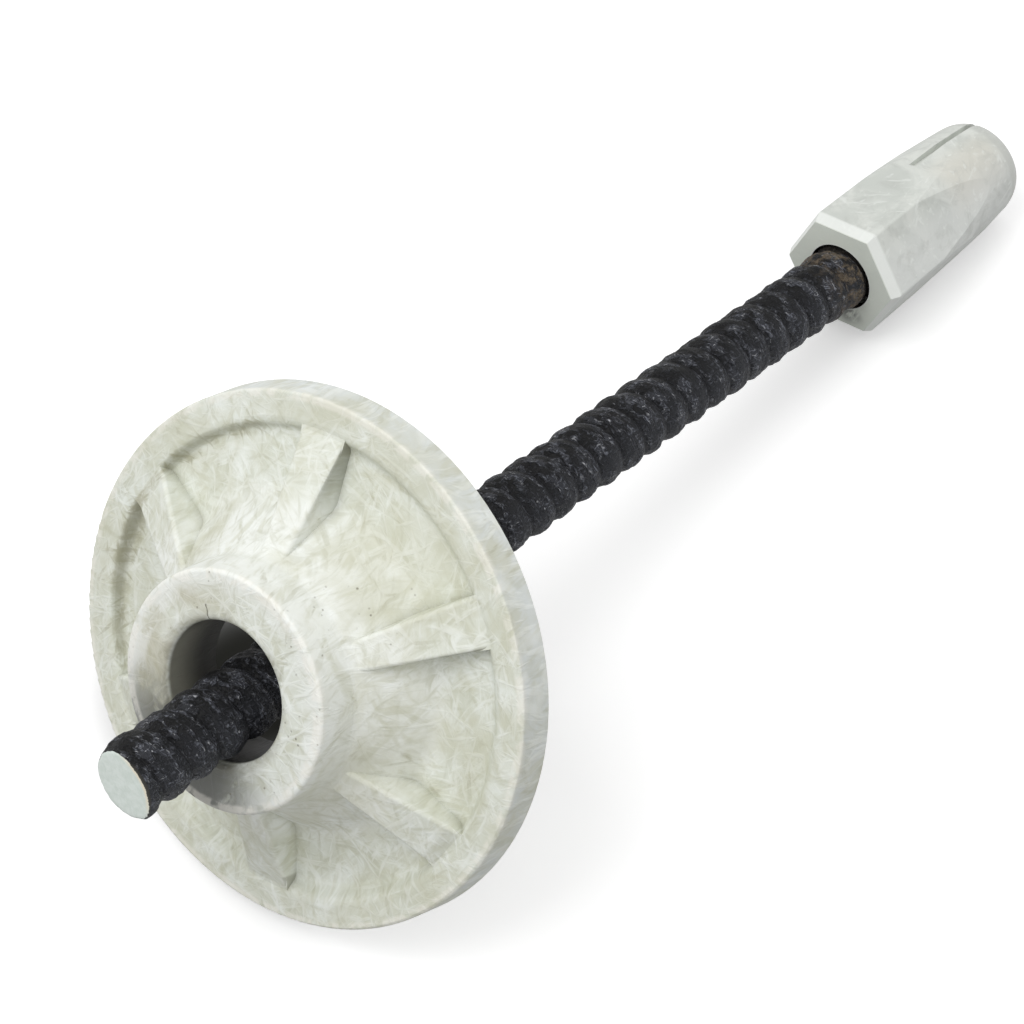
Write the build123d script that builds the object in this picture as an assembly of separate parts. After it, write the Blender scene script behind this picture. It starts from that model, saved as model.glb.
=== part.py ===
from build123d import *
from math import acos, asin, atan, atan2, cos, degrees, hypot, pi, radians, sin, tan
import os

# Fiberglass rock bolt: threaded bar, loose face plate and loose nut, lying as it comes to rest.
# Millimetres, +Z up, +X from the nut towards the cut end of the bar, floor at Z = 0.

# Face plate, in its own frame: Z is its axis, Z = 0 the front of the rim, +X its lowest side.
PLATE_R = 75.0           # rim radius at the front
RIM_DRAFT = 0.6          # how much wider the rim is at its back
RIM_T = 10.5             # rim thickness
RIM_W = 8.4              # width of the raised rim's flat front
STEP_D = 3.6             # depth of the dish inside the rim
STEP_W = 3.0             # width of the soft step down into the dish
DOME_R = 47.0            # foot of the dome
HUB_WALL = 14.0          # from the bore to the hub's edge, at the hub's face
HUB_DRAFT = 1.2          # how much wider the hub is at its foot
HUB_H = 12.3             # height of the hub's wall
HUB_Z = 29.8             # height of the hub face
BORE_ROOM = 8.5          # gap all round between the bar's crests and the bore
LIP_R = 2.0              # rounding of the bore's mouth
BACK_DISH_R = 50.0       # hollow behind the dome
BACK_DISH_WALL = 7.8     # from the bore to the top of that hollow
BACK_DISH_Z = 9.5
RIM_EDGE_R = 0.8
STEP_EDGE_R = 3.0        # rounding at the top and at the foot of the step
HUB_EDGE_R = 1.2
HUB_FOOT_FILLET = 3.0
DOME_FILLET = 5.0
BACK_EDGE_R = 1.4
RIBS = 6
RIB_OUT_HALF = 7.0       # half width of a rib at the rim
RIB_IN_HALF = 5.0        # half width of a rib at the hub
RIB_IN = 1.6             # from the hub's foot out to where a rib's width is measured
RIB_IN_Z = 16.0          # height of a rib's top there
RIB_ROOT = 6.0           # how far a rib runs into the hub
RIB_RUN_OUT = 2.0        # how far a rib's end runs into the rim
RIB_TURN = 13.1          # angle of the first rib from the lowest side
RIB_DRAFT = 4.0
RIB_FOOT = 0.6           # how much wider a rib is at its foot, each side
RIB_EDGE_R = 1.2

# Bar: a rope thread, one start, right handed.
CREST_R = 10.8
THREAD_DEPTH = 1.6
PITCH = 10.5
BAR_FRONT = 63.4         # cut face, from the plate's front plane along the bar
NUT_AT = 258.2           # corner plane of the nut, behind the plate's front plane
ENGAGE = 16.0            # bar inside the nut, from the corner plane
BAR_DROP = -0.4          # bar axis from the plate axis in the rim plane, downwards
PLAY = 1.05              # from the bottom of a notch to the lip that the bar leans on
NOTCH_AHEAD = 1.3        # thread notch that the lip sits in, past the point of contact
THREAD_POINTS = 12
THREAD_SHAPE = 2.2       # how narrow the notch between the rounded turns is
CUT_BEVEL = 0.7          # broken edge of the sawn face

# Nut: tapered hexagon with a round far end, in its own frame: Z runs from the nose to the far end.
NUT_AF = 38.0            # across flats at the corner plane
NUT_DRAFT = 0.75         # draft of each flat, degrees
NUT_EDGE_R = 1.2         # rounding of the hexagon's corners
NUT_NOSE = 3.5           # length of the chamfered nose
NUT_BEVEL = 1.6          # how far each flat falls in over the nose
NUT_NOSE_IN = 2.0        # how far each corner falls in over the nose
NUT_L = 77.3             # corner plane to far end
NUT_TAPER = 5.35         # taper of the round body that cuts the corners, degrees
NUT_END_R = 17.1         # radius where the taper ends
NUT_END_L = 7.0          # length of the rounded far end
NUT_FACE_R = 15.1        # radius at the edge of the far face
NUT_END_BEVEL = 1.2
NUT_LAND = 3.0           # flat ring of the far face
MOUTH_ROOM = 1.0         # gap all round between the bar's crests and the nut's mouth
MOUTH_L = 4.0
NUT_ROOM = 2.1           # gap all round between the crests and the bore behind the mouth
NUT_THREAD_L = 40.0      # length of the wide bore, from the nose
NUT_TURN = 20.9          # angle of a corner from the lowest side
SLOT_W = 2.2             # groove along the top of the nut
SLOT_D = 1.8
SLOT_Z = 39.0
SLOT_RAMP = 3.0          # length over which the groove's end runs out
SLOT_TURN = 163.0        # angle of the groove from the lowest side

# Sizes that follow.
ROOT_R = CREST_R - THREAD_DEPTH
BORE_R = CREST_R + BORE_ROOM
HUB_R = BORE_R + HUB_WALL
HUB_FOOT_R = HUB_R + HUB_DRAFT
HUB_FOOT_Z = HUB_Z - HUB_H
RIM_IN_R = PLATE_R - RIM_W
DISH_R = RIM_IN_R - STEP_W
PLATE_BACK_R = PLATE_R + RIM_DRAFT
BACK_DISH_TOP_R = BORE_R + BACK_DISH_WALL
RIB_IN_R = HUB_FOOT_R + RIB_IN
NUT_CORNER_R = NUT_AF / 2 / cos(pi / 6)
NUT_END_Z = NUT_L - NUT_END_L

# The bar leans on the lower lip of the plate's bore.
lip_z = HUB_Z - LIP_R
lip_x = BORE_R + LIP_R - BAR_DROP
lean = acos((ROOT_R + LIP_R + PLAY) / hypot(lip_z, lip_x)) - atan2(lip_z, lip_x)

# The nut lies on the side of its taper, and the plate on the sharp back corner of its rim.
taper = radians(NUT_TAPER)
nut_x = BAR_DROP - NUT_AT * sin(lean)
nut_z = -NUT_AT * cos(lean)
nut_height = (NUT_END_R + NUT_END_Z * tan(taper)) * cos(taper)
dx = nut_x - PLATE_BACK_R
dz = nut_z + RIM_T
tip = atan2(-dz, dx) - acos(-nut_height / hypot(dx, dz))
cock = tip - taper
row_z = PLATE_BACK_R * cos(tip) + RIM_T * sin(tip)
print("plate axis above the floor, degrees", degrees(tip))
print("bar axis above the floor, degrees", degrees(tip - lean))

# Frames of the three pieces in the row. First about the plate's origin, then moved onto the floor.
plate_down = Vector(sin(tip), 0, -cos(tip))
plate_axis = Vector(cos(tip), 0, sin(tip))
bar_axis = Vector(cos(tip - lean), 0, sin(tip - lean))
bar_down = Vector(sin(tip - lean), 0, -cos(tip - lean))
nut_back = Vector(-cos(tip - cock), 0, -sin(tip - cock))
nut_down = Vector(sin(tip - cock), 0, -cos(tip - cock))


def frame(origin, x_dir, z_dir):
    """A piece's own frame, standing in the row."""
    place = Vector(0, 0, row_z) + plate_down * origin[0] + plate_axis * origin[1]
    return Plane(origin=place, x_dir=x_dir, z_dir=z_dir).location


def make_rib():
    """One rib: a sloping bar from the rim up to the hub, drafted and rounded on top."""
    slope = RIB_IN_Z / (RIM_IN_R - RIB_IN_R)
    inner_r = HUB_R - RIB_ROOT
    side = Polyline(
        (inner_r, -RIM_T / 2),
        (RIM_IN_R + RIB_RUN_OUT, -RIM_T / 2),
        (RIM_IN_R + RIB_RUN_OUT, -0.6),
        (RIM_IN_R - 1, -0.1),
        (inner_r, slope * (RIM_IN_R - 1 - inner_r)),
        close=True,
    )
    wedge = extrude(Plane.XZ * make_face(side), amount=2 * RIB_OUT_HALF, both=True)
    grow = (RIB_OUT_HALF - RIB_IN_HALF) / (RIM_IN_R - RIB_IN_R)
    wide = RIB_FOOT + RIB_OUT_HALF + 3 * grow
    thin = RIB_FOOT + RIB_IN_HALF - (RIB_IN_R - inner_r + 1) * grow
    plan = Polyline(
        (inner_r - 1, -thin),
        (RIM_IN_R + 3, -wide),
        (RIM_IN_R + 3, wide),
        (inner_r - 1, thin),
        close=True,
    )
    body = extrude(Plane.XY.offset(-RIM_T / 2) * make_face(plan), amount=60, taper=RIB_DRAFT)
    rib = wedge & body
    top = rib.faces().filter_by(lambda f: f.normal_at().Z > 0.5).sort_by(SortBy.AREA)[-1]
    long_edges = [e for e in top.edges() if e.length > 20]
    return fillet(long_edges, RIB_EDGE_R)


def circle_at(solid, radius, height):
    """The circular edges of a turned solid at this radius and height."""
    return solid.edges().filter_by(
        lambda e: e.geom_type == GeomType.CIRCLE
        and abs(e.radius - radius) < 0.01
        and abs(e.arc_center.Z - height) < 0.01
    )


def make_plate():
    """A moulded dome plate: rim, dish, dome and hub turned in one, six ribs, hollow behind."""
    outline = Polyline(
        (BORE_R, -RIM_T),
        (BORE_R, HUB_Z),
        (HUB_R, HUB_Z),
        (HUB_FOOT_R, HUB_FOOT_Z),
        (DOME_R, -STEP_D / 2),
        (DISH_R, -STEP_D),
        (RIM_IN_R, 0),
        (PLATE_R, 0),
        (PLATE_BACK_R, -RIM_T),
        close=True,
    )
    plate = revolve(Plane.XZ * make_face(outline), Axis.Z)
    for radius, height, rounding in (
        (BORE_R, HUB_Z, LIP_R),
        (HUB_R, HUB_Z, HUB_EDGE_R),
        (HUB_FOOT_R, HUB_FOOT_Z, HUB_FOOT_FILLET),
        (DOME_R, -STEP_D / 2, min(DOME_FILLET, (DISH_R - DOME_R) / 2)),
        (DISH_R, -STEP_D, STEP_EDGE_R),
        (RIM_IN_R, 0, STEP_EDGE_R),
        (PLATE_R, 0, RIM_EDGE_R),
    ):
        plate = fillet(circle_at(plate, radius, height), rounding)

    rib = make_rib()
    plate = plate + [Rot(0, 0, RIB_TURN + 360 * k / RIBS) * rib for k in range(RIBS)]

    hollow = Polyline(
        (0, -RIM_T - 1),
        (BACK_DISH_R, -RIM_T - 1),
        (BACK_DISH_R, -RIM_T),
        (BACK_DISH_TOP_R, BACK_DISH_Z),
        (0, BACK_DISH_Z),
        close=True,
    )
    hollow = revolve(Plane.XZ * make_face(hollow), Axis.Z)
    hollow = fillet(circle_at(hollow, BACK_DISH_TOP_R, BACK_DISH_Z), DOME_FILLET / 2)
    plate = plate - hollow
    return fillet(circle_at(plate, BACK_DISH_R, -RIM_T), BACK_EDGE_R)


def make_bar():
    """The rope thread is one notched section, turned once per pitch along the bar."""
    points = []
    for k in range(THREAD_POINTS):
        turn = (k + 0.5) / THREAD_POINTS
        from_notch = min(turn, 1 - turn) * 2
        r = CREST_R - THREAD_DEPTH * (1 - from_notch) ** THREAD_SHAPE
        points.append((r * cos(2 * pi * turn), r * sin(2 * pi * turn)))
    section = make_face(Spline(*points, periodic=True))
    hidden = NUT_AT + ENGAGE
    length = BAR_FRONT + hidden
    notch_at = hidden + lip_z * cos(lean) + lip_x * sin(lean) + NOTCH_AHEAD
    section = Rot(0, 0, -360 * notch_at / PITCH) * section
    bar = Solid.extrude_linear_with_rotation(
        section.face().outer_wire(),
        center=(0, 0, 0),
        normal=(0, 0, length),
        angle=360 * length / PITCH,
    )
    edge = Polyline(
        (ROOT_R + 0.2, length + 1),
        (ROOT_R + 0.2, length),
        (CREST_R + 1, length - CUT_BEVEL * 2),
        (CREST_R + 1, length + 1),
        close=True,
    )
    return bar - revolve(Plane.XZ * make_face(edge), Axis.Z)


def make_nut():
    """A hexagon with drafted flats, chamfered all round its nose, its corners cut by a round taper."""
    draft = tan(radians(NUT_DRAFT))
    corner = NUT_NOSE
    hexagon = RegularPolygon(NUT_AF / 2 + corner * draft, 6, major_radius=False)
    hexagon = fillet(hexagon.vertices(), NUT_EDGE_R)
    prism = extrude(hexagon, amount=corner + NUT_L, taper=NUT_DRAFT)
    nose = RegularPolygon(NUT_AF / 2 - NUT_BEVEL, 6, major_radius=False)
    flare = degrees(atan(NUT_BEVEL / NUT_NOSE))
    prism = prism & extrude(nose, amount=corner + NUT_L, taper=-flare)
    prism = Rot(0, 0, NUT_TURN) * prism

    # The rounded end leaves the taper smoothly and reaches the edge of the far face.
    round_over = corner + NUT_END_Z
    far = corner + NUT_L - NUT_END_BEVEL
    chord_r = NUT_END_R - NUT_FACE_R
    chord_z = far - round_over
    arc = (chord_r**2 + chord_z**2) / 2 / (chord_r * cos(taper) - chord_z * sin(taper))
    centre_r = NUT_END_R - arc * cos(taper)
    centre_z = round_over - arc * sin(taper)
    middle = (taper + asin((far - centre_z) / arc)) / 2
    mouth_r = CREST_R + MOUTH_ROOM
    bore_r = CREST_R + NUT_ROOM
    tail_r = NUT_FACE_R - NUT_END_BEVEL - NUT_LAND
    outline = [
        Line((mouth_r, 0), (NUT_CORNER_R - NUT_NOSE_IN, 0)),
        Line((NUT_CORNER_R - NUT_NOSE_IN, 0), (NUT_END_R + NUT_END_Z * tan(taper), corner)),
        Line((NUT_END_R + NUT_END_Z * tan(taper), corner), (NUT_END_R, round_over)),
        ThreePointArc(
            (NUT_END_R, round_over),
            (centre_r + arc * cos(middle), centre_z + arc * sin(middle)),
            (NUT_FACE_R, far),
        ),
        Line((NUT_FACE_R, far), (NUT_FACE_R - NUT_END_BEVEL, far + NUT_END_BEVEL)),
        Line((NUT_FACE_R - NUT_END_BEVEL, far + NUT_END_BEVEL), (tail_r, far + NUT_END_BEVEL)),
        Line((tail_r, far + NUT_END_BEVEL), (tail_r, NUT_THREAD_L)),
        Line((tail_r, NUT_THREAD_L), (bore_r, NUT_THREAD_L)),
        Line((bore_r, NUT_THREAD_L), (bore_r, MOUTH_L)),
        Line((bore_r, MOUTH_L), (mouth_r, MOUTH_L)),
        Line((mouth_r, MOUTH_L), (mouth_r, 0)),
    ]
    nut = prism & revolve(Plane.XZ * make_face(outline), Axis.Z)

    flat_r = NUT_AF / 2 - SLOT_Z * draft
    cutter = Polyline(
        (flat_r + 0.5, corner + SLOT_Z),
        (flat_r - SLOT_D * 0.7, corner + SLOT_Z + SLOT_RAMP),
        (NUT_END_R - SLOT_D, round_over),
        (NUT_FACE_R - NUT_END_BEVEL - SLOT_D, corner + NUT_L + 1),
        (NUT_CORNER_R + 5, corner + NUT_L + 1),
        (NUT_CORNER_R + 5, corner + SLOT_Z),
        close=True,
    )
    groove = extrude(Plane.XZ * make_face(cutter), amount=SLOT_W / 2, both=True)
    return nut - Rot(0, 0, SLOT_TURN) * groove


os.makedirs("parts", exist_ok=True)
plate = frame((0, 0), plate_down, plate_axis) * make_plate()
hidden_end = NUT_AT + ENGAGE
bar_start = (BAR_DROP - hidden_end * sin(lean), -hidden_end * cos(lean))
bar = frame(bar_start, bar_down, bar_axis) * make_bar()
nut_start = (nut_x + NUT_NOSE * sin(cock), nut_z + NUT_NOSE * cos(cock))
nut = frame(nut_start, nut_down, nut_back) * make_nut()

boxes = [piece.bounding_box() for piece in (bar, plate, nut)]
middle_x = (min(b.min.X for b in boxes) + max(b.max.X for b in boxes)) / 2
for name, piece in (("threaded_bar", bar), ("face_plate", plate), ("nut", nut)):
    solid = Pos(-middle_x, 0, 0) * piece.solid()
    solid.label = name
    export_step(solid, f"parts/{name}.step")
    box = solid.bounding_box()
    print(name, solid.is_valid, round(solid.volume), box.min, box.max)
print("shift", -middle_x, "plate origin", -middle_x, row_z)
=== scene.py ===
from math import atan2, cos, floor, pi, radians, sin, tau

import bmesh
import bpy
from mathutils import Matrix, Quaternion, Vector, noise


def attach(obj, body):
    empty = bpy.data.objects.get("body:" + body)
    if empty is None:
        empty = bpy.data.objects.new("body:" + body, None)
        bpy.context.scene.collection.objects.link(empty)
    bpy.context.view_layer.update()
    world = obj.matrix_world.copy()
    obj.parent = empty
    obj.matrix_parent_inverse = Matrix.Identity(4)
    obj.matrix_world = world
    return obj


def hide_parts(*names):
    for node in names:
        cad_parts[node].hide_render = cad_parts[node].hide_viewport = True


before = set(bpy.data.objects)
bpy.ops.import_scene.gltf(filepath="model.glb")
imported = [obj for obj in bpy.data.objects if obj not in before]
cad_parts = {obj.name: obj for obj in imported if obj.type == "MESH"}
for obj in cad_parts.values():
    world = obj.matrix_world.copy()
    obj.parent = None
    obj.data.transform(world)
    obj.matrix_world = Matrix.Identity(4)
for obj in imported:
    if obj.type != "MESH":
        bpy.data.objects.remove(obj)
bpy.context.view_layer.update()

# Where the pieces lie, in metres, as in the part's source.
PLATE_CENTRE = Vector((0.134030, 0.0, 0.071486))
PLATE_TIP = radians(28.4210)
BAR_TIP = radians(10.7719)
BAR_DROP = -0.0004
NUT_TIP = radians(5.35)
NUT_CENTRE = Vector((-0.119810, 0.0, 0.023580))

# The bar's rope thread and its two ends, along the bar from the plate's front plane.
CREST_R = 0.0108
THREAD_DEPTH = 0.0016
THREAD_SHAPE = 2.2
PITCH = 0.0105
NOTCH_AT = 0.03437
CUT_AT = 0.0634
NUT_FACE_AT = -0.2547
HIDDEN_END = -0.2742

# The plate: radii from its axis, and the hub's height over its front plane.
PLATE_R = 0.075
RIM_IN_R = 0.0666
DISH_R = 0.0636
DOME_R = 0.047
HUB_R = 0.0333
HUB_Z = 0.0298
BORE_R = 0.0193

# The nut: heights from its corner plane.
NUT_NOSE = 0.0035
NUT_END = -0.0712
NUT_MOUTH_R = 0.0118


def lying(centre, tip):
    """A piece's own frame: Z is its axis, +X its lowest side."""
    axis = Vector((cos(tip), 0, sin(tip)))
    low = Vector((sin(tip), 0, -cos(tip)))
    side = axis.cross(low)
    turn = Matrix((low, side, axis)).transposed().to_4x4()
    return Matrix.Translation(centre) @ turn


PLATE_FRAME = lying(PLATE_CENTRE, PLATE_TIP)
BAR_FRAME = lying(PLATE_FRAME @ Vector((BAR_DROP, 0, 0)), BAR_TIP)
NUT_FRAME = lying(NUT_CENTRE, NUT_TIP)


# The bar's rope thread, wound like the real one: one strand's section, turned along the bar.
STRAND_FACES = 14                # faces across one turn, from notch to notch
TURN_FACES = 96                  # faces once round the bar
WRAP = tau * 0.0104              # length of one turn of the skin
UV_PER_METRE = 100               # the wrap map is in centimetres

# The skin's unevenness: lumps and fibres along the strand, and knots.
LUMP_LENGTH, LUMP_HEIGHT = 0.0045, 0.00058
FIBRE_LENGTH, FIBRE_HEIGHT = 0.0030, 0.00034
KNOT_SIZE, KNOT_HEIGHT = 0.0019, 0.00024
LUMPS_ACROSS, FIBRES_ACROSS = 2.4, 7.0
LUMP_SINK = 0.12                 # lowers the lumps as a whole
SKIN_LIMIT = 0.00012             # the most that the skin stands out over the thread

# The sawn edge: how far the radius shrinks and the edge rises, step by step inward.
BROKEN_EDGE = 0.0005
EDGE_STEPS = ((0.975, 0.00035), (0.93, 0.00016), (0.86, 0.0))
FRAY, FRAY_SIZE = 0.018, 0.0013


def strand_radius(across):
    """Height of the strand over the bar's axis, where across runs from notch to notch."""
    from_notch = 1 - abs(2 * across - 1)
    return CREST_R - THREAD_DEPTH * (1 - from_notch) ** THREAD_SHAPE


def along_strand(place):
    """Place round the bar, in turns, and place along it, in turns of the thread from a notch."""
    round_bar = atan2(place.y, place.x) / tau
    turns = (place.z - NOTCH_AT) / PITCH - round_bar
    return round_bar, turns


def fibrous(place):
    """How far the skin stands out here: uneven lumps, and fibres that run along the strand."""
    round_bar, turns = along_strand(place)
    across = turns % 1
    along = (floor(turns) + round_bar) * WRAP
    crest = min(1, 4 * across * (1 - across) + 0.25)
    lumps = noise.noise(Vector((along / LUMP_LENGTH, across * LUMPS_ACROSS, 3.7))) - LUMP_SINK
    fibres = noise.noise(Vector((along / FIBRE_LENGTH, across * FIBRES_ACROSS, 8.2)))
    knots = noise.noise(place / KNOT_SIZE)
    height = crest * (LUMP_HEIGHT * lumps + FIBRE_HEIGHT * fibres + KNOT_HEIGHT * knots)
    return min(height, SKIN_LIMIT)


def wound_strand():
    """The thread's open skin: one turn spun from the strand's section, and copied along."""
    bm = bmesh.new()
    hidden_turns = int((NOTCH_AT - HIDDEN_END) / PITCH) + 2
    turns = hidden_turns + int((CUT_AT - NOTCH_AT) / PITCH) + 2
    start = NOTCH_AT - hidden_turns * PITCH
    line = []
    for k in range(STRAND_FACES + 1):
        across = k / STRAND_FACES
        line.append(bm.verts.new((strand_radius(across), 0, start + across * PITCH)))
    edges = [bm.edges.new(pair) for pair in zip(line, line[1:])]
    bmesh.ops.spin(
        bm,
        geom=line + edges,
        cent=(0, 0, 0),
        axis=(0, 0, 1),
        dvec=(0, 0, PITCH / TURN_FACES),
        angle=tau,
        steps=TURN_FACES,
    )
    one_turn = bm.verts[:] + bm.edges[:] + bm.faces[:]
    for k in range(1, turns):
        copied = bmesh.ops.duplicate(bm, geom=one_turn)["geom"]
        moved = [part for part in copied if isinstance(part, bmesh.types.BMVert)]
        bmesh.ops.translate(bm, verts=moved, vec=(0, 0, k * PITCH))
    bmesh.ops.remove_doubles(bm, verts=bm.verts, dist=2e-6)
    for level, up in ((HIDDEN_END, -1), (CUT_AT - BROKEN_EDGE, 1)):
        bmesh.ops.bisect_plane(
            bm,
            geom=bm.verts[:] + bm.edges[:] + bm.faces[:],
            plane_co=(0, 0, level),
            plane_no=(0, 0, up),
            clear_outer=True,
        )
    return bm


def map_strand(bm):
    """The wrap map: along the strand and across it, without a seam inside a face."""
    wrap = bm.loops.layers.uv.new("wrap")
    for face in bm.faces:
        face.smooth = True
        middle_round, middle_turns = along_strand(face.calc_center_median())
        strand = floor(middle_turns)
        for loop in face.loops:
            round_bar, turn = along_strand(loop.vert.co)
            hop = round(round_bar - middle_round)
            along = (strand + round_bar - hop) * WRAP
            across = (turn + hop - strand) * PITCH
            loop[wrap].uv = (along * UV_PER_METRE, across * UV_PER_METRE)


def sharpen_notch(bm):
    """Keeps the notch between two turns crisp."""
    for edge in bm.edges:
        places = [along_strand(vert.co)[1] for vert in edge.verts]
        if all(abs(place - round(place)) < 0.002 for place in places):
            edge.smooth = False


def close_ends(bm):
    """A plain hidden end, and a sawn end whose edge is a little broken and frayed."""
    for side in (-1, 1):
        rim = [edge for edge in bm.edges if edge.is_boundary and edge.verts[0].co.z * side > 0]
        steps = EDGE_STEPS if side > 0 else ()
        for shrink, rise in steps:
            grown = bmesh.ops.extrude_edge_only(bm, edges=rim)["geom"]
            rim = [g for g in grown if isinstance(g, bmesh.types.BMEdge) and g.is_boundary]
            for vert in {v for edge in rim for v in edge.verts}:
                frayed = 1 + FRAY * noise.noise(vert.co / FRAY_SIZE)
                vert.co.x *= shrink * frayed
                vert.co.y *= shrink * frayed
                vert.co.z = min(vert.co.z + rise, CUT_AT)
        cap = bmesh.ops.contextual_create(bm, geom=rim)["faces"]
        for face in cap:
            face.smooth = False
    bmesh.ops.recalc_face_normals(bm, faces=bm.faces)


def wound_bar():
    """The bar as one closed mesh in its own frame."""
    bm = wound_strand()
    map_strand(bm)
    sharpen_notch(bm)
    for vert in bm.verts:
        out = Vector((vert.co.x, vert.co.y, 0)).normalized()
        vert.co += out * fibrous(vert.co)
    close_ends(bm)
    return bm


def add_object(name, bm):
    """An object at the origin with this mesh."""
    mesh = bpy.data.meshes.new(name)
    bm.to_mesh(mesh)
    bm.free()
    made = bpy.data.objects.new(name, mesh)
    bpy.context.collection.objects.link(made)
    return made


def add_piece(name, bm, own_frame):
    """A piece modelled in its own frame, put into the shared frame."""
    bmesh.ops.transform(bm, matrix=own_frame, verts=bm.verts)
    return add_object(name, bm)


bar = add_piece("rope_thread_bar", wound_bar(), BAR_FRAME)
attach(bar, "bar")
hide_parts("threaded_bar")


# Material building blocks.


def tint(red, green, blue):
    """A colour as the eye reads it, 0 to 255, as Blender wants it."""

    def linear(v):
        v = v / 255
        return v / 12.92 if v <= 0.04045 else ((v + 0.055) / 1.055) ** 2.4

    return (linear(red), linear(green), linear(blue), 1.0)


class Nodes:
    """A material's nodes; what goes into one is a number, a colour or another's output."""

    def __init__(self, name):
        self.material = bpy.data.materials.new(name)
        self.material.use_nodes = True
        self.tree = self.material.node_tree

    def feed(self, socket, value):
        if isinstance(value, bpy.types.NodeSocket):
            self.tree.links.new(value, socket)
        else:
            socket.default_value = value

    def node(self, kind, settings=None, **inputs):
        """Adds a node. Its inputs go by name, or by number as _0, _1 and so on."""
        made = self.tree.nodes.new(kind)
        for key, value in (settings or {}).items():
            setattr(made, key, value)
        for key, value in inputs.items():
            number = key[1:]
            place = int(number) if number.isdigit() else key.replace("_", " ")
            self.feed(made.inputs[place], value)
        return made

    def vector(self, operation, **inputs):
        """Works on vectors, and gives a number where the operation does."""
        made = self.node("ShaderNodeVectorMath", {"operation": operation}, **inputs)
        is_number = operation in ("LENGTH", "DISTANCE", "DOT_PRODUCT")
        return made.outputs["Value" if is_number else "Vector"]

    def maths(self, operation, a, b=0.0):
        return self.node("ShaderNodeMath", {"operation": operation}, _0=a, _1=b).outputs[0]

    def times(self, *values):
        total = values[0]
        for value in values[1:]:
            total = self.maths("MULTIPLY", total, value)
        return total

    def plus(self, *values):
        total = values[0]
        for value in values[1:]:
            total = self.maths("ADD", total, value)
        return total

    def ramp(self, value, low, high, kind="SMOOTHSTEP"):
        """0 at low and 1 at high, smooth between; low may be the larger."""
        return self.node(
            "ShaderNodeMapRange",
            {"interpolation_type": kind},
            Value=value,
            From_Min=min(low, high),
            From_Max=max(low, high),
            To_Min=0.0 if low < high else 1.0,
            To_Max=1.0 if low < high else 0.0,
        ).outputs["Result"]

    def band(self, value, low, high, soft):
        """1 between low and high, falling to 0 over soft on each side."""
        return self.times(self.ramp(value, low - soft, low), self.ramp(value, high + soft, high))

    def mix(self, amount, a, b):
        made = self.node("ShaderNodeMix", {"data_type": "RGBA"})
        for name, value in (("Factor", amount), ("A", a), ("B", b)):
            self.feed([s for s in made.inputs if s.name == name and s.enabled][0], value)
        return [s for s in made.outputs if s.enabled][0]

    def coat(self, colour, top, strength, *masks):
        """Lays a colour over another at this strength, where all the masks are 1."""
        return self.mix(self.times(*masks, strength), colour, top)


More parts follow.
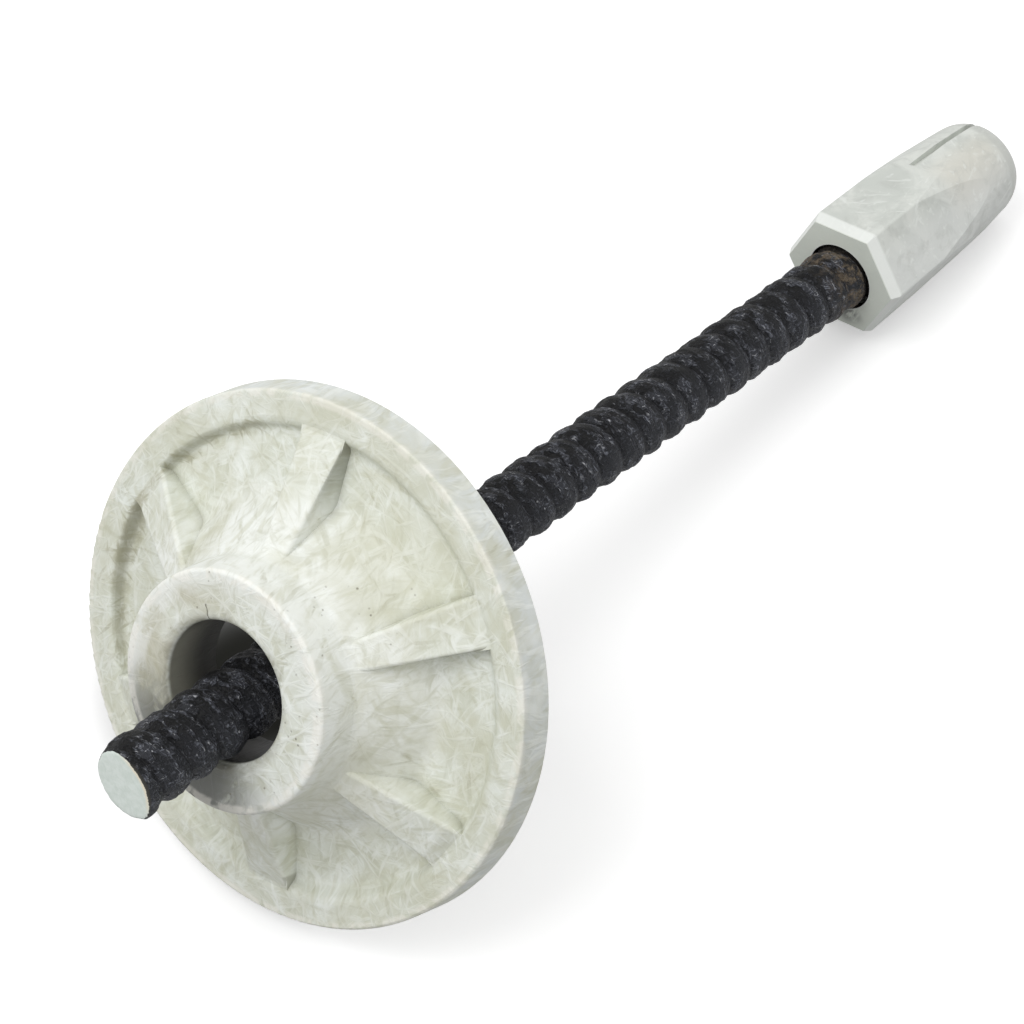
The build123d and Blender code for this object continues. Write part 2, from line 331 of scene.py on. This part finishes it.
class Finish(Nodes):
    """A piece's material, with its pattern coordinates in the piece's own frame."""

    def __init__(self, name, roughness, own_frame):
        super().__init__(name)
        self.turn = own_frame.to_quaternion()
        self.shader = self.tree.nodes["Principled BSDF"]
        self.shader.inputs["Roughness"].default_value = roughness
        shared = self.node("ShaderNodeTexCoord").outputs["Object"]
        inverse = own_frame.inverted()
        place = self.node("ShaderNodeMapping", Vector=shared)
        place.inputs["Location"].default_value = inverse.to_translation()
        place.inputs["Rotation"].default_value = inverse.to_euler()
        self.own = place.outputs["Vector"]
        self.x, self.y, self.height = self.node("ShaderNodeSeparateXYZ", Vector=self.own).outputs
        flat = self.node("ShaderNodeCombineXYZ", X=self.x, Y=self.y).outputs[0]
        self.radius = self.vector("LENGTH", _0=flat)

    def by_radius(self, value):
        return self.maths("DIVIDE", value, self.plus(self.radius, 1e-6))

    def towards(self, angle, spread):
        """1 on the side of the piece that lies at this angle from its lowest side, falling to 0."""
        ahead = self.plus(
            self.times(self.x, cos(radians(angle))),
            self.times(self.y, sin(radians(angle))),
        )
        return self.ramp(self.by_radius(ahead), cos(radians(spread)), 1.0)

    def facing(self, x, y):
        """How far a face looks this way across the piece's axis, from -1 to 1."""
        normal = self.node("ShaderNodeNewGeometry").outputs["Normal"]
        return self.vector("DOT_PRODUCT", _0=normal, _1=self.turn @ Vector((x, y, 0)))

    def noise(self, vector, scale, detail=2.0, distortion=0.0, rough=0.5):
        return self.node(
            "ShaderNodeTexNoise",
            Vector=vector,
            Scale=scale,
            Detail=detail,
            Distortion=distortion,
            Roughness=rough,
        ).outputs["Fac"]

    def patches(self, scale, detail, distortion, rough, dark, light):
        """Two colours in uneven patches."""
        uneven = self.noise(self.own, scale, detail, distortion, rough)
        return self.mix(self.ramp(uneven, 0.34, 0.66), dark, light)

    def warped(self, scale, reach):
        """The piece's coordinates pushed about by a coarse noise, so that strands curve."""
        push = self.node("ShaderNodeTexNoise", Vector=self.own, Scale=scale, Detail=1.0)
        centred = self.vector("SUBTRACT", _0=push.outputs["Color"], _1=(0.5, 0.5, 0.5))
        return self.vector("ADD", _0=self.own, _1=self.vector("SCALE", _0=centred, Scale=reach))

    def stretched(self, vector, scale, turn=(0, 0, 0)):
        made = self.node("ShaderNodeMapping", Vector=vector, Scale=scale, Rotation=turn)
        return made.outputs["Vector"]

    def strands(self, vector, ways, low, high):
        """Chopped glass strands lying several ways, each a thin streak of stretched noise."""
        total = 0.0
        for turn, stretch in ways:
            turned = self.node(
                "ShaderNodeMapping", {"vector_type": "TEXTURE"}, Vector=vector, Rotation=turn
            ).outputs["Vector"]
            uneven = self.noise(self.stretched(turned, stretch), 1.0, 2.0, 0.15, 0.55)
            total = self.maths("MAXIMUM", total, self.ramp(uneven, low, high))
        return total

    def finished(self, colour, relief, strength, distance):
        """Links colour and bump, and returns the material."""
        bump = self.node("ShaderNodeBump", Strength=strength, Distance=distance, Height=relief)
        self.feed(self.shader.inputs["Base Color"], colour)
        self.feed(self.shader.inputs["Normal"], bump.outputs["Normal"])
        return self.material


def flat_ways(count, thin, long, lean=0.0):
    """Directions in the plane across a piece's axis, evenly spread.

    Thin and long say how often a strand's pattern changes per metre, across it and along it.
    """
    return [((0, lean, pi * k / count + 0.3), (thin, long, long)) for k in range(count)]


# The plate's colours.
STONE = tint(213, 216, 202)
CHALK = tint(232, 236, 229)
DOME_WHITE = tint(248, 250, 248)
RIM_GREY = tint(220, 225, 225)
BROAD_STRAND = tint(202, 203, 183)
DARK_STRAND = tint(176, 177, 154)
LIGHT_STRAND = tint(246, 249, 245)
GREENISH = tint(200, 200, 177)
TAN_SMEAR = tint(162, 159, 134)
CREASE_DIRT_AND_SHADE = tint(120, 121, 104)
FLANK_SHADE = tint(98, 100, 87)
STEP_SHADE = tint(120, 118, 98)
FACE_TAN = tint(180, 175, 150)
FACE_RUBBED = tint(238, 240, 236)
FACE_SMUDGE_AND_SHADOW = tint(88, 89, 86)
LIP_DIRT = tint(128, 125, 106)
PIT_DIRT = tint(112, 106, 88)
WORN_EDGE = tint(246, 243, 234)
CRACK_DIRT = tint(84, 82, 68)
BORE_SHADE = tint(44, 43, 37)
BORE_LIT = tint(150, 149, 136)

# Places round the plate, in degrees from its lowest side towards the photo's right.
STEP_SMEAR_AT = 248
LEFT_RIM_AT = 282
LOW_RIB_AT = 14
RIGHT_RIB_AT = 146
FACE_LEFT_AT = 262
FACE_LOW_AT = 350
CRACK_AT = 214
SHADED_WAY = radians(75)         # the way that the ribs' shaded walls look


def plate_strands(f, curved):
    """The plate's glass: light strands, which also sweep round the rim, broad and dark ones."""
    light = f.strands(curved, flat_ways(5, 620, 85), 0.56, 0.70)
    broad = f.strands(curved, flat_ways(3, 330, 60, 0.3), 0.54, 0.70)
    dark = f.strands(curved, flat_ways(4, 470, 75, 0.2), 0.56, 0.70)
    around = f.node(
        "ShaderNodeCombineXYZ", X=f.times(f.radius, 560), Y=f.times(f.x, 60), Z=f.times(f.y, 60)
    ).outputs["Vector"]
    swept = f.ramp(f.noise(around, 1.0, 2.0, 0.3, 0.6), 0.55, 0.75)
    outer = f.ramp(f.radius, DOME_R - 0.002, DISH_R - 0.0016)
    return f.maths("MAXIMUM", light, f.times(swept, outer)), broad, dark


def plate_compound(f, light, broad, dark):
    """The clean plate: patchy off-white, whiter on the dome, greyer round the rim."""
    colour = f.patches(60, 5, 0.8, 0.62, STONE, CHALK)
    colour = f.coat(colour, DOME_WHITE, 0.6, f.band(f.radius, HUB_R, DOME_R - 0.002, 0.008))
    rim_side = f.ramp(f.radius, PLATE_R - 0.0008, PLATE_R)
    colour = f.coat(colour, RIM_GREY, 0.8, rim_side, f.ramp(f.height, 0.0002, -0.0012))
    colour = f.coat(colour, BROAD_STRAND, 0.5, broad)
    colour = f.coat(colour, DARK_STRAND, 0.32, dark)
    return f.coat(colour, LIGHT_STRAND, 0.48, light)


def plate_grime_and_crease_shade(f, colour, grime, blots, dark):
    """A greenish cast in the dish, tan smears in its corner, and dirt and painted shade where faces
    meet.
    """
    dish = f.band(f.radius, HUB_R + 0.0027, PLATE_R - 0.0008, 0.004)
    cast = f.ramp(f.plus(f.times(blots, 0.6), f.times(grime, 0.4)), 0.38, 0.62)
    colour = f.coat(colour, GREENISH, 0.55, dish, cast)
    corner = f.band(f.radius, DISH_R - 0.0004, RIM_IN_R - 0.0006, 0.0022)
    left_rim = f.band(f.radius, DISH_R - 0.0016, RIM_IN_R + 0.0024, 0.005)
    dirtier = f.plus(
        f.times(grime, 0.8),
        f.times(dark, 0.16),
        f.times(corner, f.towards(STEP_SMEAR_AT, 62), 0.24),
        f.times(left_rim, f.towards(LEFT_RIM_AT, 30), 0.12),
    )
    colour = f.coat(colour, TAN_SMEAR, 0.7, f.ramp(dirtier, 0.56, 0.86))
    # Dirt and painted shade in the creases where faces meet, darker where they are more closed in.
    crease = f.node(
        "ShaderNodeAmbientOcclusion", {"samples": 8, "only_local": True}, Distance=0.007
    )
    return f.coat(colour, CREASE_DIRT_AND_SHADE, 0.5, f.ramp(crease.outputs["AO"], 0.72, 0.28))


def plate_shaded_walls(f, colour):
    """The ribs' walls and the step round the dish, darker where they look away from the lamp."""
    turned = f.facing(cos(SHADED_WAY), sin(SHADED_WAY))
    swing = f.plus(f.times(f.y, f.facing(1, 0)), f.times(f.x, f.facing(0, 1), -1.0))
    flanks = f.times(
        f.ramp(f.by_radius(swing), 0.35, 0.8),
        f.ramp(turned, 0.45, 0.7),
        f.ramp(f.radius, RIM_IN_R + 0.0004, DISH_R + 0.0004),
    )
    deep = f.plus(
        f.times(f.ramp(f.radius, DOME_R - 0.005, DISH_R - 0.0036), 0.52),
        f.times(f.towards(LOW_RIB_AT, 34), 0.75),
    )
    colour = f.coat(colour, FLANK_SHADE, 1.0, flanks, f.maths("MINIMUM", deep, 0.9))
    step = f.band(f.radius, DISH_R - 0.0008, RIM_IN_R - 0.0001, 0.001)
    return f.coat(colour, STEP_SHADE, 0.45, f.ramp(turned, 0.3, 0.75), step)


def hub_marks(f, colour, grime, blots):
    """The hub's face: tan and rubbed on its left, smudged and with the bar's shadow painted below,
    with a dirty lip and pits.
    """
    face = f.times(
        f.ramp(f.height, HUB_Z - 0.0012, HUB_Z - 0.0004),
        f.ramp(f.radius, HUB_R + 0.0007, HUB_R - 0.0003),
    )
    inner = f.ramp(f.radius, HUB_R - 0.0008, HUB_R - 0.0063)
    tan_side = f.times(face, f.towards(FACE_LEFT_AT, 88))
    colour = f.coat(colour, FACE_TAN, 0.6, tan_side, inner, f.ramp(blots, 0.3, 0.5))
    ring = f.band(f.radius, HUB_R - 0.0058, HUB_R - 0.0018, 0.0018)
    rubbed_side = f.times(face, f.towards(FACE_LEFT_AT, 55))
    colour = f.coat(colour, FACE_RUBBED, 0.6, rubbed_side, ring, f.ramp(grime, 0.44, 0.56))
    # Grey smudges on the low side, darkened further as the bar's painted shadow.
    low_side = f.times(face, f.towards(FACE_LOW_AT, 75))
    colour = f.coat(colour, FACE_SMUDGE_AND_SHADOW, 0.92, low_side, f.ramp(grime, 0.22, 0.5))
    lip = f.times(
        f.ramp(f.radius, BORE_R + 0.0045, BORE_R + 0.0006), f.ramp(f.height, 0.0, 0.01)
    )
    colour = f.coat(colour, LIP_DIRT, 0.5, lip, f.ramp(grime, 0.36, 0.6))

    dots = f.node("ShaderNodeTexVoronoi", Vector=f.own, Scale=420).outputs["Distance"]
    sparse = f.ramp(f.noise(f.own, 170, 2), 0.5, 0.62)
    by_rib = f.band(f.radius, HUB_R + 0.0007, DOME_R - 0.001, 0.003)
    by_rib = f.times(by_rib, f.towards(RIGHT_RIB_AT, 26))
    pitted = f.maths("MINIMUM", f.plus(f.times(face, 0.9), by_rib), 1.0)
    pits = f.times(f.ramp(dots, 0.2, 0.08), sparse, pitted)
    return f.coat(colour, PIT_DIRT, 0.75, pits), pits


def plate_wear_and_bore_shade(f, colour):
    """Worn, cleaner edges, the hair crack over the bore, and the bore wall in painted shade, with
    painted light on its left towards the mouth.
    """
    rim_edge = f.times(
        f.band(f.radius, PLATE_R - 0.0014, PLATE_R + 0.0002, 0.0012),
        f.ramp(f.height, -0.0022, -0.0004),
    )
    hub_edge = f.times(
        f.band(f.radius, HUB_R - 0.0021, HUB_R + 0.0001, 0.0012),
        f.ramp(f.height, HUB_Z - 0.0024, HUB_Z - 0.0004),
    )
    broken = f.ramp(f.noise(f.own, 240, 4, 0.5), 0.36, 0.56)
    colour = f.coat(colour, WORN_EDGE, 0.45, f.plus(rim_edge, hub_edge), broken)

    way = radians(CRACK_AT)
    wander = f.times(f.plus(f.noise(f.own, 600, 2), -0.5), 0.0016)
    beside = f.plus(f.times(f.x, -sin(way)), f.times(f.y, cos(way)), wander)
    crack = f.times(
        f.ramp(f.maths("ABSOLUTE", beside), 0.00030, 0.00012),
        f.band(f.radius, BORE_R, BORE_R + 0.0039, 0.0008),
        f.towards(CRACK_AT, 12),
    )
    colour = f.coat(colour, CRACK_DIRT, 0.85, crack)

    # The bore wall: painted shade, lighter on its left near the mouth as painted light.
    inside = f.times(
        f.ramp(f.radius, BORE_R + 0.0009, BORE_R + 0.0001),
        f.ramp(f.height, HUB_Z - 0.0006, HUB_Z - 0.0022),
    )
    mouth = f.ramp(f.height, HUB_Z - 0.016, HUB_Z - 0.003)
    wall = f.coat(BORE_SHADE, BORE_LIT, 1.0, f.towards(LEFT_RIM_AT, 55), mouth)
    return f.mix(inside, colour, wall), crack


def pale_moulding():
    """The plate: pressed glass-fibre compound, off-white, with strands, grime and worn edges."""
    f = Finish("pale_fibre_moulding", 0.6, PLATE_FRAME)
    curved = f.warped(45, 0.010)
    light, broad, dark = plate_strands(f, curved)
    grime = f.noise(curved, 110, 5, 0.6, 0.66)
    blots = f.noise(f.own, 34, 3, 0.8, 0.6)
    colour = plate_compound(f, light, broad, dark)
    colour = plate_grime_and_crease_shade(f, colour, grime, blots, dark)
    colour = plate_shaded_walls(f, colour)
    colour, pits = hub_marks(f, colour, grime, blots)
    colour, crack = plate_wear_and_bore_shade(f, colour)
    relief = f.plus(
        f.times(light, 0.35), f.times(grime, 0.8), f.times(pits, -0.8), f.times(crack, -1.2)
    )
    return f.finished(colour, relief, 0.35, 0.0006)


# The nut's colours.
NUT_GREY = tint(202, 206, 200)
NUT_PALE = tint(219, 222, 216)
NUT_WARM = tint(216, 211, 198)
NUT_PAINTED_LIGHT = tint(226, 228, 226)
NUT_GRIME = tint(184, 187, 181)
NUT_STRAND = tint(238, 241, 237)
NUT_BEVEL = tint(243, 246, 242)
NUT_FACE = tint(214, 220, 209)
NUT_SMUDGE = tint(92, 92, 90)
NUT_FAR_GREY = tint(194, 196, 190)
NUT_BORE = tint(60, 54, 46)

# Turns of the nut's strands, and how often they change per metre along each axis.
NUT_WAYS = [
    ((0, 0.5, 0), (420, 420, 60)),
    ((0.6, 0, 0.4), (420, 60, 360)),
    ((0.9, 0.3, 0), (380, 380, 60)),
]

# Places round the nut, in degrees as on the plate.
NUT_WARM_AT = 150
NUT_PAINTED_LIGHT_AT = 95
NUT_SMUDGE_AT = 28


def pale_nut():
    """The nut: the same compound, greyer and smoother, with a lighter bevel round its nose."""
    f = Finish("pale_fibre_nut", 0.5, NUT_FRAME)
    curved = f.warped(50, 0.008)
    light = f.strands(curved, NUT_WAYS, 0.62, 0.76)
    grime = f.noise(curved, 130, 5, 0.6, 0.66)
    colour = f.patches(75, 4, 0.8, 0.6, NUT_GREY, NUT_PALE)
    warm_stretch = f.band(f.height, NUT_END + 0.0072, NUT_END + 0.0252, 0.012)
    colour = f.coat(colour, NUT_WARM, 0.5, f.towards(NUT_WARM_AT, 40), warm_stretch)
    # One side of the nut is painted lighter: painted light.
    colour = f.coat(colour, NUT_PAINTED_LIGHT, 0.6, f.towards(NUT_PAINTED_LIGHT_AT, 65))
    colour = f.coat(colour, NUT_GRIME, 0.5, f.ramp(grime, 0.46, 0.72))
    colour = f.coat(colour, NUT_STRAND, 0.45, light)

    # The nose: the corner plane is at height 0 and the near face at NUT_NOSE.
    bevel = f.band(f.height, 0.0002, NUT_NOSE - 0.0005, 0.0012)
    colour = f.coat(colour, NUT_BEVEL, 0.7, bevel)
    face = f.times(
        f.ramp(f.height, NUT_NOSE - 0.0004, NUT_NOSE - 0.0001),
        f.ramp(f.radius, NUT_MOUTH_R, NUT_MOUTH_R + 0.0006),
    )
    colour = f.coat(colour, NUT_FACE, 0.7, face)
    by_mouth = f.ramp(f.radius, NUT_MOUTH_R + 0.0067, NUT_MOUTH_R + 0.0017)
    low_side = f.times(face, f.towards(NUT_SMUDGE_AT, 22))
    colour = f.coat(colour, NUT_SMUDGE, 0.85, low_side, by_mouth, f.ramp(grime, 0.36, 0.5))

    colour = f.coat(colour, NUT_FAR_GREY, 0.55, f.ramp(f.height, NUT_END + 0.0012, NUT_END))
    bore = f.times(
        f.ramp(f.radius, NUT_MOUTH_R + 0.0003, NUT_MOUTH_R),
        f.ramp(f.height, NUT_NOSE - 0.0001, NUT_NOSE - 0.001),
    )
    colour = f.mix(bore, colour, NUT_BORE)
    return f.finished(colour, f.plus(f.times(light, 0.4), f.times(grime, 0.8)), 0.2, 0.0005)


# The bar's colours.
RESIN_SHADED = tint(7, 7, 8)
RESIN_LIT = tint(34, 36, 41)
RESIN_WORN = tint(52, 54, 60)
FIBRE_AND_SHEEN = tint(118, 121, 131)
GLINT = tint(184, 185, 190)
NOTCH_SHADE = tint(12, 12, 13)
BROWN_SCUFF = tint(146, 129, 106)
MOUTH_DARK = tint(30, 27, 24)
CORE_GREY = tint(218, 228, 221)
CORE_PALE = tint(232, 240, 235)
SAWN_CREAM = tint(240, 233, 212)
SKIN_EDGE = tint(40, 38, 34)

SIDE_X, SIDE_Y = 0.52, 0.855     # across the bar, towards the photo's lower right
CREAM_AT = 128                   # the sawn face's cream side, in degrees as on the plate
SKIN_IN_R = 0.0103               # radius where the sawn face's core ends


def sawn_face(f):
    """The sawn face: smooth grey-green core, a ragged cream edge, then the black skin."""
    ragged = f.plus(f.radius, f.times(f.plus(f.noise(f.own, 900, 4, 0.4, 0.65), -0.5), 0.0014))
    core_ends = f.plus(SKIN_IN_R, f.times(f.towards(CREAM_AT, 70), -0.0012))
    past = f.maths("SUBTRACT", ragged, core_ends)
    grain = f.noise(f.own, 500, 4, 0.4, 0.6)
    colour = f.mix(f.ramp(grain, 0.3, 0.7), CORE_GREY, CORE_PALE)
    near_edge = f.ramp(past, -0.0014, -0.0004)
    colour = f.coat(colour, SAWN_CREAM, 1.0, near_edge, f.towards(CREAM_AT, 75))
    return f.mix(f.ramp(past, 0.0, 0.00015), colour, SKIN_EDGE)


def black_bar():
    """The bar: black resin over wound fibres, scuffed brown by the nut, pale where it is sawn."""
    f = Finish("black_fibre_bar", 0.62, BAR_FRAME)
    f.shader.inputs["Specular IOR Level"].default_value = 0.3
    wrap = f.node("ShaderNodeUVMap", {"uv_map": "wrap"}).outputs["UV"]
    push = f.node("ShaderNodeTexNoise", Vector=wrap, Scale=5.0, Detail=1.0).outputs["Color"]
    bent = f.vector("ADD", _0=wrap, _1=f.vector("SCALE", _0=push, Scale=0.16))

    def lay(along, across, low, high, turn=0.0):
        """Fibres that run along the strand, or at a small angle to it."""
        drawn_out = f.stretched(bent, (along, across, 1), (0, 0, turn))
        return f.ramp(f.noise(drawn_out, 1.0, 3.0, 0.2, 0.6), low, high)

    fine = lay(4.5, 17, 0.52, 0.62)
    slant = lay(15, 5, 0.53, 0.63, 0.4)
    coarse = lay(1.5, 2.8, 0.46, 0.58)
    # The bar's lower right side is painted lighter and its upper left painted in shade; the fibres
    # also show more on the painted lit side.
    painted_lit_side = f.ramp(f.plus(f.times(f.x, SIDE_X), f.times(f.y, SIDE_Y)), -0.0065, 0.008)
    skin = f.mix(painted_lit_side, RESIN_SHADED, RESIN_LIT)
    skin = f.coat(skin, RESIN_WORN, 0.7, coarse)
    matted = f.plus(f.times(coarse, 0.75), f.times(painted_lit_side, 0.3), 0.1)
    fibre_and_sheen = f.maths("MINIMUM", f.times(f.maths("MAXIMUM", fine, slant), matted), 1.0)
    # Grey fibres, partly a painted sheen on them.
    colour = f.coat(skin, FIBRE_AND_SHEEN, 0.8, fibre_and_sheen)
    thin = f.maths("MAXIMUM", lay(5, 15, 0.6, 0.68), lay(14, 5, 0.62, 0.7, 0.9))
    colour = f.coat(colour, GLINT, 0.85, thin, coarse)

    across = f.node("ShaderNodeSeparateXYZ", Vector=wrap).outputs["Y"]
    strand_width = PITCH * UV_PER_METRE
    far_notch = f.ramp(across, strand_width - 0.2, strand_width - 0.02)
    # Painted shade along the notches between turns.
    colour = f.coat(colour, NOTCH_SHADE, 0.4, f.plus(f.ramp(across, 0.2, 0.02), far_notch))
    near_nut = f.ramp(f.height, NUT_FACE_AT + 0.021, NUT_FACE_AT + 0.003)
    flecks = f.ramp(f.noise(f.own, 330, 5, 0.6, 0.66), 0.42, 0.62)
    colour = f.coat(colour, BROWN_SCUFF, 0.62, near_nut, flecks)
    mouth = f.ramp(f.height, NUT_FACE_AT + 0.0016, NUT_FACE_AT + 0.0006)
    colour = f.coat(colour, MOUTH_DARK, 0.9, mouth)

    sawn = f.ramp(f.height, CUT_AT - 0.00022, CUT_AT - 0.00012)
    colour = f.mix(sawn, colour, sawn_face(f))
    rough_skin = f.plus(f.times(fine, 0.7), f.times(slant, 0.5), f.times(coarse, 1.1))
    relief = f.times(rough_skin, f.maths("SUBTRACT", 1.0, sawn))
    return f.finished(colour, relief, 1.0, 0.0009)


for node, material in (("face_plate", pale_moulding()), ("nut", pale_nut())):
    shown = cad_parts[node]
    shown.data.materials.clear()
    shown.data.materials.append(material)
bar.data.materials.append(black_bar())


# The floor, the light and the camera.
FLOOR_HALF = 3                           # half of the floor's side
FLOOR_SHADE = (0.18, 0.18, 0.18, 1)      # the floor to light that bounces back at the object
FLOOR_SEEN = (0.88, 0.88, 0.88, 1)       # the floor to the camera and to reflections
FLOOR_GLOW = 0.34                        # what the camera sees of it without any light on it

# The deep shade painted on the floor under the leaning plate, which keeps its bore dark: full
# within one distance from its middle and gone beyond the other.
UNDER_PLATE = (0.111, -0.041, 0)
SHADE_FULL = 0.014
SHADE_GONE = 0.066
DEEP_SHADE = (0.03, 0.03, 0.027, 1)

SKY_STRENGTH = 0.82
WINDOW_ENERGY = 5.5
WINDOW_SIZE = 0.7
WINDOW_PLACE = Vector((0.6, -0.2, 1.25))

# The photo's camera, from the fit to the plate's circles and the bar's outlines.
CAMERA_LENS = 100.895
SENSOR_WIDTH = 36
CAMERA_PLACE = (0.438355, 0.33667, 0.697648)
CAMERA_TURN = Quaternion((0.389461, 0.140674, 0.300757, 0.859114))


def pale_floor():
    """White behind the object, with its shadow, a painted deep shade under the leaning plate, and
    little light thrown back.
    """
    f = Nodes("pale_floor")
    f.tree.nodes.clear()
    path = f.node("ShaderNodeLightPath").outputs
    seen = f.maths("MAXIMUM", path["Is Camera Ray"], path["Is Glossy Ray"])
    place = f.node("ShaderNodeTexCoord").outputs["Object"]
    away = f.vector("DISTANCE", _0=place, _1=UNDER_PLATE)
    clear_of_painted_shade = f.ramp(away, SHADE_FULL, SHADE_GONE, "SMOOTHERSTEP")
    colour = f.mix(clear_of_painted_shade, DEEP_SHADE, f.mix(seen, FLOOR_SHADE, FLOOR_SEEN))
    matt = f.node("ShaderNodeBsdfDiffuse", Color=colour).outputs[0]
    strength = f.times(seen, clear_of_painted_shade, FLOOR_GLOW)
    glow = f.node("ShaderNodeEmission", Strength=strength).outputs[0]
    both = f.node("ShaderNodeAddShader", _0=matt, _1=glow).outputs[0]
    f.node("ShaderNodeOutputMaterial", Surface=both)
    return f.material


floor_mesh = bmesh.new()
bmesh.ops.create_grid(floor_mesh, x_segments=1, y_segments=1, size=FLOOR_HALF)
ground = add_object("floor", floor_mesh)
ground.data.materials.append(pale_floor())

world = bpy.data.worlds.new("soft_daylight")
bpy.context.scene.world = world
world.use_nodes = True
sky = world.node_tree.nodes["Background"]
sky.inputs["Color"].default_value = (1, 1, 1, 1)
sky.inputs["Strength"].default_value = SKY_STRENGTH

lamp = bpy.data.lights.new("window", "AREA")
lamp.energy = WINDOW_ENERGY
lamp.size = WINDOW_SIZE
lamp_object = bpy.data.objects.new("window", lamp)
bpy.context.collection.objects.link(lamp_object)
lamp_object.location = WINDOW_PLACE
lamp_object.rotation_euler = (-WINDOW_PLACE).to_track_quat("-Z", "Y").to_euler()

camera = bpy.data.cameras.new("photo_camera")
camera.lens = CAMERA_LENS
camera.sensor_width = SENSOR_WIDTH
camera_object = bpy.data.objects.new("photo_camera", camera)
bpy.context.collection.objects.link(camera_object)
camera_object.location = CAMERA_PLACE
camera_object.rotation_mode = "QUATERNION"
camera_object.rotation_quaternion = CAMERA_TURN
bpy.context.scene.camera = camera_object

bpy.context.scene.view_settings.view_transform = "Standard"
